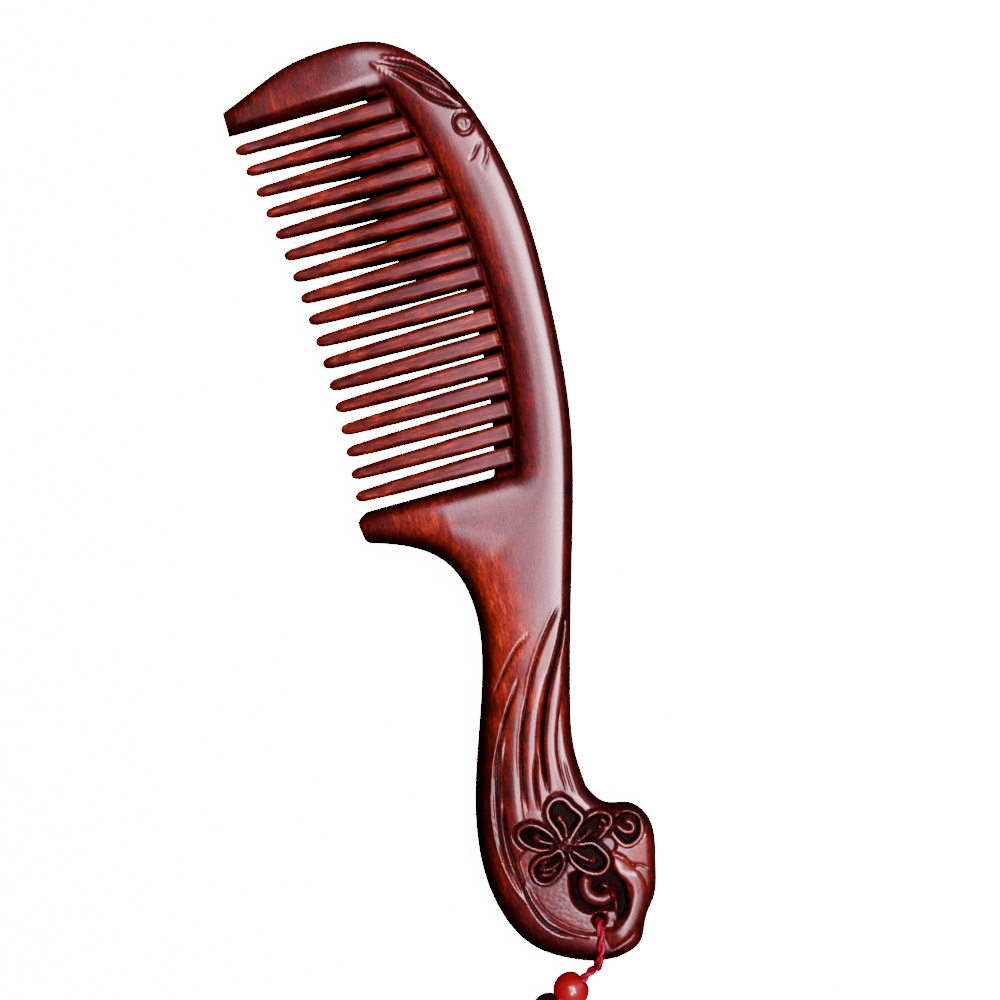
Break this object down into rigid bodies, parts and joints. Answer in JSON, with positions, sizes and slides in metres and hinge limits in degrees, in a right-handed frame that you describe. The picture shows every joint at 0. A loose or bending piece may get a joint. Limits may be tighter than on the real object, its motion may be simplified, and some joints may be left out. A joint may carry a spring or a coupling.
{
  "type": "decorative hair comb",
  "caption": "Carved wooden hair comb with a curved handle, separate teeth let into its spine, a flower and scroll relief, and a beaded cord hanging from the handle's end.",
  "frame": {"origin": "on the plane that the back lies on, under the middle of the comb's length and width, without the free cord and its beads", "axes": "+Y along the comb from the handle to the head, teeth towards -X, +Z out of the front face"},
  "size_m": [0.0534, 0.2239, 0.012],
  "materials": {
    "frame_wood": "polished, lacquered red sandalwood",
    "tooth_wood": "polished red sandalwood",
    "red_cord": "waxed twisted cord",
    "red_bead": "glossy",
    "dark_bead": "polished dark wood"
  },
  "bodies": {
    "comb": {"comb_frame": "frame_wood", "tooth_01": "tooth_wood", "tooth_02": "tooth_wood", "tooth_03": "tooth_wood", "tooth_04": "tooth_wood", "tooth_05": "tooth_wood", "tooth_06": "tooth_wood", "tooth_07": "tooth_wood", "tooth_08": "tooth_wood", "tooth_09": "tooth_wood", "tooth_10": "tooth_wood", "tooth_11": "tooth_wood", "tooth_12": "tooth_wood", "tooth_13": "tooth_wood", "tooth_14": "tooth_wood", "tooth_15": "tooth_wood", "tooth_16": "tooth_wood", "tooth_17": "tooth_wood", "hanging_loop": "red_cord"},
    "pendant": {"pendant_cord": "red_cord", "end_knot": "red_cord"},
    "red_bead_body": {"red_bead": "red_bead"},
    "dark_bead_1_body": {"dark_bead_1": "dark_bead"},
    "dark_bead_2_body": {"dark_bead_2": "dark_bead"}
  },
  "joints": [
    {"name": "pendant_swing", "type": "hinge", "parent": "comb", "child": "pendant", "pos_m": [0.00017, -0.0961, 0.00365], "axis": [0, 0, 1], "range_deg": [-10, 100]},
    {"name": "red_bead_spin", "type": "hinge", "parent": "pendant", "child": "red_bead_body", "pos_m": [-0.0064, -0.09951, 0.00365], "axis": [-0.887, -0.4617, 0], "continuous": true},
    {"name": "dark_bead_1_spin", "type": "hinge", "parent": "pendant", "child": "dark_bead_1_body", "pos_m": [-0.01176, -0.10231, 0.00365], "axis": [-0.887, -0.4617, 0], "continuous": true},
    {"name": "dark_bead_2_spin", "type": "hinge", "parent": "pendant", "child": "dark_bead_2_body", "pos_m": [-0.01727, -0.11566, 0.00363], "axis": [0.2888, -0.9574, -0.0066], "continuous": true}
  ]
}
